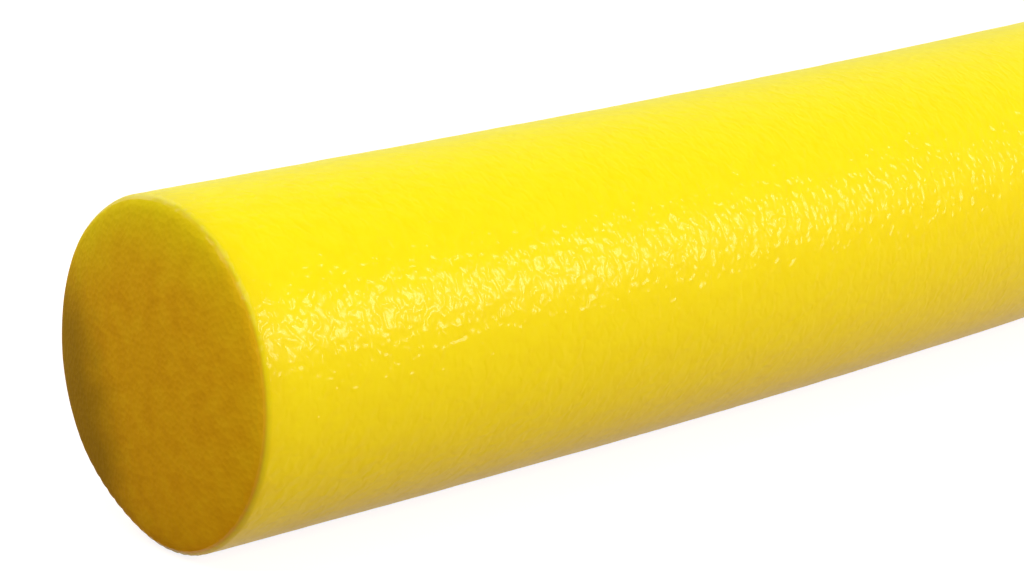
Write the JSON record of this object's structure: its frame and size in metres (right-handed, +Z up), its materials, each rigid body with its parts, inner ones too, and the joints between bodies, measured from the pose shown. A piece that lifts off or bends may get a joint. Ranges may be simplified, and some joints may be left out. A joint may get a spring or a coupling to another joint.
{
  "type": "pool noodle",
  "caption": "Solid round bar of closed-cell foam with a dense dimpled skin and cut ends, a float and swimming aid, lying on its side.",
  "frame": {"origin": "on the floor under the middle of the bar, at the bottom centre of its box", "axes": "+X along the bar, away from the cut end that the picture shows; +Z up, with the bar lying on its pressed flat strip; +Y completes the right-handed frame"},
  "size_m": [1.6, 0.07, 0.0695],
  "materials": {
    "extruded_skin": "satin lemon yellow polyethylene skin, finely dimpled, with small sparkles",
    "cut_foam": "matt cut closed-cell foam, deeper yellow, finely speckled"
  },
  "bodies": {
    "root": {"foam_core": "cut_foam", "outer_skin": "extruded_skin"}
  },
  "joints": []
}
